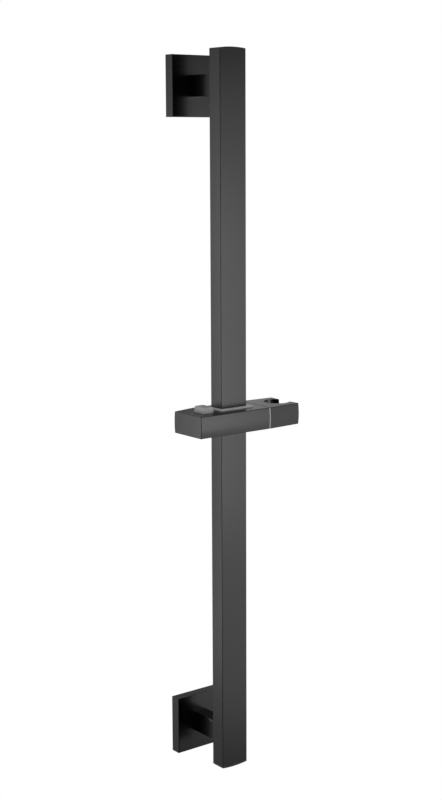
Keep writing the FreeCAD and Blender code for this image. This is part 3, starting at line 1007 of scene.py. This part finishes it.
class SLIDERAIL_OT_wind_spring(Operator):
    """Wind the coil spring under the release button"""

    bl_idname = "slide_rail.wind_spring"
    bl_label = "Button spring"

    def execute(self, context):
        spring = context.scene.slide_rail_spring
        middle, low, high = span_of("button_spring")
        height = high.z - low.z
        values = {
            "Coil Radius": spring.coil,
            "Wire Radius": spring.wire,
            "Height": height,
            "Turns": spring.turns,
            "Finish": finish_for(slot_of_node["button_spring"]),
        }
        piece = grown_piece("button_spring_wound", spring_tree(), values)
        foot = (middle.x, middle.y, low.z)
        piece.data.transform(Matrix.Translation(foot))
        smooth(piece.data, 50)
        stand_for(piece, "button_spring")
        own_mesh(piece)
        return {"FINISHED"}


class SLIDERAIL_OT_set_studio(Operator):
    """Set the floor, the lamps, the surroundings and the camera"""

    bl_idname = "slide_rail.set_studio"
    bl_label = "Studio"

    def execute(self, context):
        studio = context.scene.slide_rail_studio
        lay_floor(studio)
        light_surroundings(context.scene, studio)
        for name, (setting, size, offset) in lamps.items():
            hang_lamp(name, getattr(studio, setting), size, rail_middle + Vector(offset))
        place_camera(context.scene, studio)
        context.scene.view_settings.view_transform = "Standard"
        return {"FINISHED"}


# Studio


def seen_directly(tree):
    """1 for what the camera sees, also in or through gloss and glass, 0 for scattered light."""
    path = add(tree, "ShaderNodeLightPath").outputs
    either = calculate(tree, "MAXIMUM", path["Is Camera Ray"], path["Is Glossy Ray"])
    return calculate(tree, "MAXIMUM", either, path["Is Transmission Ray"])


def level_seen(tree, in_gloss):
    """1 for what the camera sees itself, and another level in gloss."""
    first = add(tree, "ShaderNodeLightPath").outputs["Is Camera Ray"]
    inputs = {"Value": first, "To Min": in_gloss, "To Max": 1.0}
    return add(tree, "ShaderNodeMapRange", inputs).outputs[0]


def room_around_camera(tree, towards, studio):
    """How bright the room is towards a direction: dark around the camera, and 1 elsewhere."""
    aside, camera_ward = 0.15, 0.5
    camera_way = (Vector(studio.camera_place) - rail_middle).normalized()
    inputs = {0: towards, 1: camera_way}
    facing = add(tree, "ShaderNodeVectorMath", inputs, operation="DOT_PRODUCT").outputs["Value"]
    return spread(tree, facing, 1.0, studio.camera_side, aside, camera_ward)


def lay_floor(studio):
    """A wide pale floor that takes a shadow near the rail and runs into the white walls."""
    half_width = 9.0
    shadow_end, white_start, matt_share = 0.6, 1.6, 0.9
    sheet = bmesh.new()
    bmesh.ops.create_grid(sheet, x_segments=8, y_segments=8, size=half_width)
    mesh = bpy.data.meshes.new("Floor")
    sheet.to_mesh(mesh)
    sheet.free()
    mesh.transform(Matrix.Translation((0, 0, -studio.floor_drop)))
    floor = new_piece("Floor", mesh)
    paint = bpy.data.materials.new("Pale floor")
    paint.use_nodes = True
    tree = paint.node_tree
    tree.nodes.clear()
    place = add(tree, "ShaderNodeTexCoord").outputs["Object"]
    inputs = {0: place, 1: (0, 0, studio.floor_drop)}
    level = add(tree, "ShaderNodeVectorMath", inputs, operation="ADD").outputs[0]
    reach = add(tree, "ShaderNodeVectorMath", {0: level}, operation="LENGTH").outputs["Value"]
    way = add(tree, "ShaderNodeVectorMath", {0: level}, operation="NORMALIZE").outputs[0]
    room = room_around_camera(tree, way, studio)
    in_gloss = calculate(tree, "MULTIPLY", room, studio.gloss_floor)
    inputs = {"Color": (1, 1, 1, 1), "Strength": level_seen(tree, in_gloss)}
    white = add(tree, "ShaderNodeEmission", inputs).outputs[0]
    matt = add(tree, "ShaderNodeBsdfDiffuse", {"Color": (0.85, 0.85, 0.85, 1)}).outputs[0]
    whiteness = spread(tree, reach, matt_share, 1.0, shadow_end, white_start)
    most = calculate(tree, "MULTIPLY", seen_directly(tree), whiteness)
    seen = add(tree, "ShaderNodeMixShader", {0: most, 1: matt, 2: white}).outputs[0]
    clear = add(tree, "ShaderNodeBsdfTransparent").outputs[0]
    below = add(tree, "ShaderNodeNewGeometry").outputs["Backfacing"]
    both = add(tree, "ShaderNodeMixShader", {0: below, 1: seen, 2: clear}).outputs[0]
    add(tree, "ShaderNodeOutputMaterial", {"Surface": both})
    mesh.materials.append(paint)


def light_surroundings(scene, studio):
    """White walls to look at, greyer in gloss, whose scattered light is low."""
    world = bpy.data.worlds.new("Studio walls")
    world.use_nodes = True
    scene.world = world
    tree = world.node_tree
    tree.nodes.clear()
    towards = add(tree, "ShaderNodeNewGeometry").outputs["Position"]
    right, inwards, rise = add(tree, "ShaderNodeSeparateXYZ", {0: towards}).outputs
    eye_level, higher_up = -0.02, 0.16
    wall = spread(tree, rise, 1.0, studio.high_wall, eye_level, higher_up)
    heading = calculate(tree, "ARCTAN2", right, inwards)
    ends = math.radians(panel_from), math.radians(panel_to)
    panel = add(tree, "ShaderNodeValToRGB", {0: spread(tree, heading, 0.0, 1.0, *ends)})
    stops = panel.color_ramp.elements
    stops[0].position, stops[1].position = panel_levels[0][0], panel_levels[-1][0]
    for place, _ in panel_levels[1:-1]:
        stops.new(place)
    for stop, (_, level) in zip(stops, panel_levels):
        stop.color = (level, level, level, 1)
    wall = calculate(tree, "MULTIPLY", wall, panel.outputs[0])
    in_gloss = calculate(tree, "MULTIPLY", wall, room_around_camera(tree, towards, studio))
    inputs = {"Color": (1, 1, 1, 1), "Strength": studio.fill}
    low = add(tree, "ShaderNodeBackground", inputs).outputs[0]
    inputs = {"Color": (1, 1, 1, 1), "Strength": level_seen(tree, in_gloss)}
    white = add(tree, "ShaderNodeBackground", inputs).outputs[0]
    both = add(tree, "ShaderNodeMixShader", {0: seen_directly(tree), 1: low, 2: white})
    add(tree, "ShaderNodeOutputWorld", {"Surface": both.outputs[0]})


def hang_lamp(name, watts, size, place):
    """A soft rectangular lamp that faces the rail's middle."""
    lamp = bpy.data.lights.new(name, "AREA")
    lamp.energy = watts
    lamp.shape = "RECTANGLE"
    lamp.size, lamp.size_y = size
    stand = bpy.data.objects.new(name, lamp)
    stand.location = place
    stand.rotation_euler = (rail_middle - place).to_track_quat("-Z", "Y").to_euler()
    stand.visible_camera = False
    bpy.context.scene.collection.objects.link(stand)


def place_camera(scene, studio):
    """The camera, with the heading, tilt and lens of the picture."""
    lens = bpy.data.cameras.new("Camera")
    lens.lens = studio.focal
    lens.sensor_width = 36.0
    lens.clip_start, lens.clip_end = 0.05, 60.0
    camera = bpy.data.objects.new("Camera", lens)
    turn = Matrix.Rotation(-studio.camera_heading, 4, "Z")
    turn @= Matrix.Rotation(math.pi / 2 + studio.camera_tilt, 4, "X")
    turn @= Matrix.Rotation(studio.camera_roll, 4, "Z")
    camera.matrix_world = Matrix.Translation(studio.camera_place) @ turn
    scene.collection.objects.link(camera)
    scene.camera = camera


class SLIDERAIL_PT_pieces(Panel):
    """The slide rail's pieces and their settings."""

    bl_label = "Shower Slide Rail"
    bl_space_type = "VIEW_3D"
    bl_region_type = "UI"
    bl_category = "Slide Rail"

    def draw(self, context):
        for step in steps:
            self.layout.operator(step.bl_idname)
        for group_name in settings_groups:
            settings = getattr(context.scene, group_name)
            box = self.layout.box()
            for setting in settings.__annotations__:
                box.prop(settings, setting)


steps = (
    SLIDERAIL_OT_dress_rail,
    SLIDERAIL_OT_dress_brackets,
    SLIDERAIL_OT_dress_slider,
    SLIDERAIL_OT_dress_holder,
    SLIDERAIL_OT_thread_screws,
    SLIDERAIL_OT_wind_spring,
    SLIDERAIL_OT_set_studio,
)
settings_groups = {
    "slide_rail_finishes": SlideRailFinishes,
    "slide_rail_edges": SlideRailEdges,
    "slide_rail_tube": SlideRailTube,
    "slide_rail_screws": SlideRailScrews,
    "slide_rail_spring": SlideRailSpring,
    "slide_rail_studio": SlideRailStudio,
}


def register():
    """Makes the settings, the operators and the panel known."""
    for name, group in settings_groups.items():
        bpy.utils.register_class(group)
        setattr(bpy.types.Scene, name, PointerProperty(type=group))
    for step in (*steps, SLIDERAIL_PT_pieces):
        bpy.utils.register_class(step)


def unregister():
    """Takes the panel, the operators and the settings away again."""
    for step in (SLIDERAIL_PT_pieces, *reversed(steps)):
        bpy.utils.unregister_class(step)
    for name, group in settings_groups.items():
        delattr(bpy.types.Scene, name)
        bpy.utils.unregister_class(group)


def main():
    """Makes every piece in order."""
    register()
    bpy.ops.slide_rail.dress_rail()
    bpy.ops.slide_rail.dress_brackets()
    bpy.ops.slide_rail.dress_slider()
    bpy.ops.slide_rail.dress_holder()
    bpy.ops.slide_rail.thread_screws()
    bpy.ops.slide_rail.wind_spring()
    bpy.ops.slide_rail.set_studio()


if __name__ == "__main__":
    main()
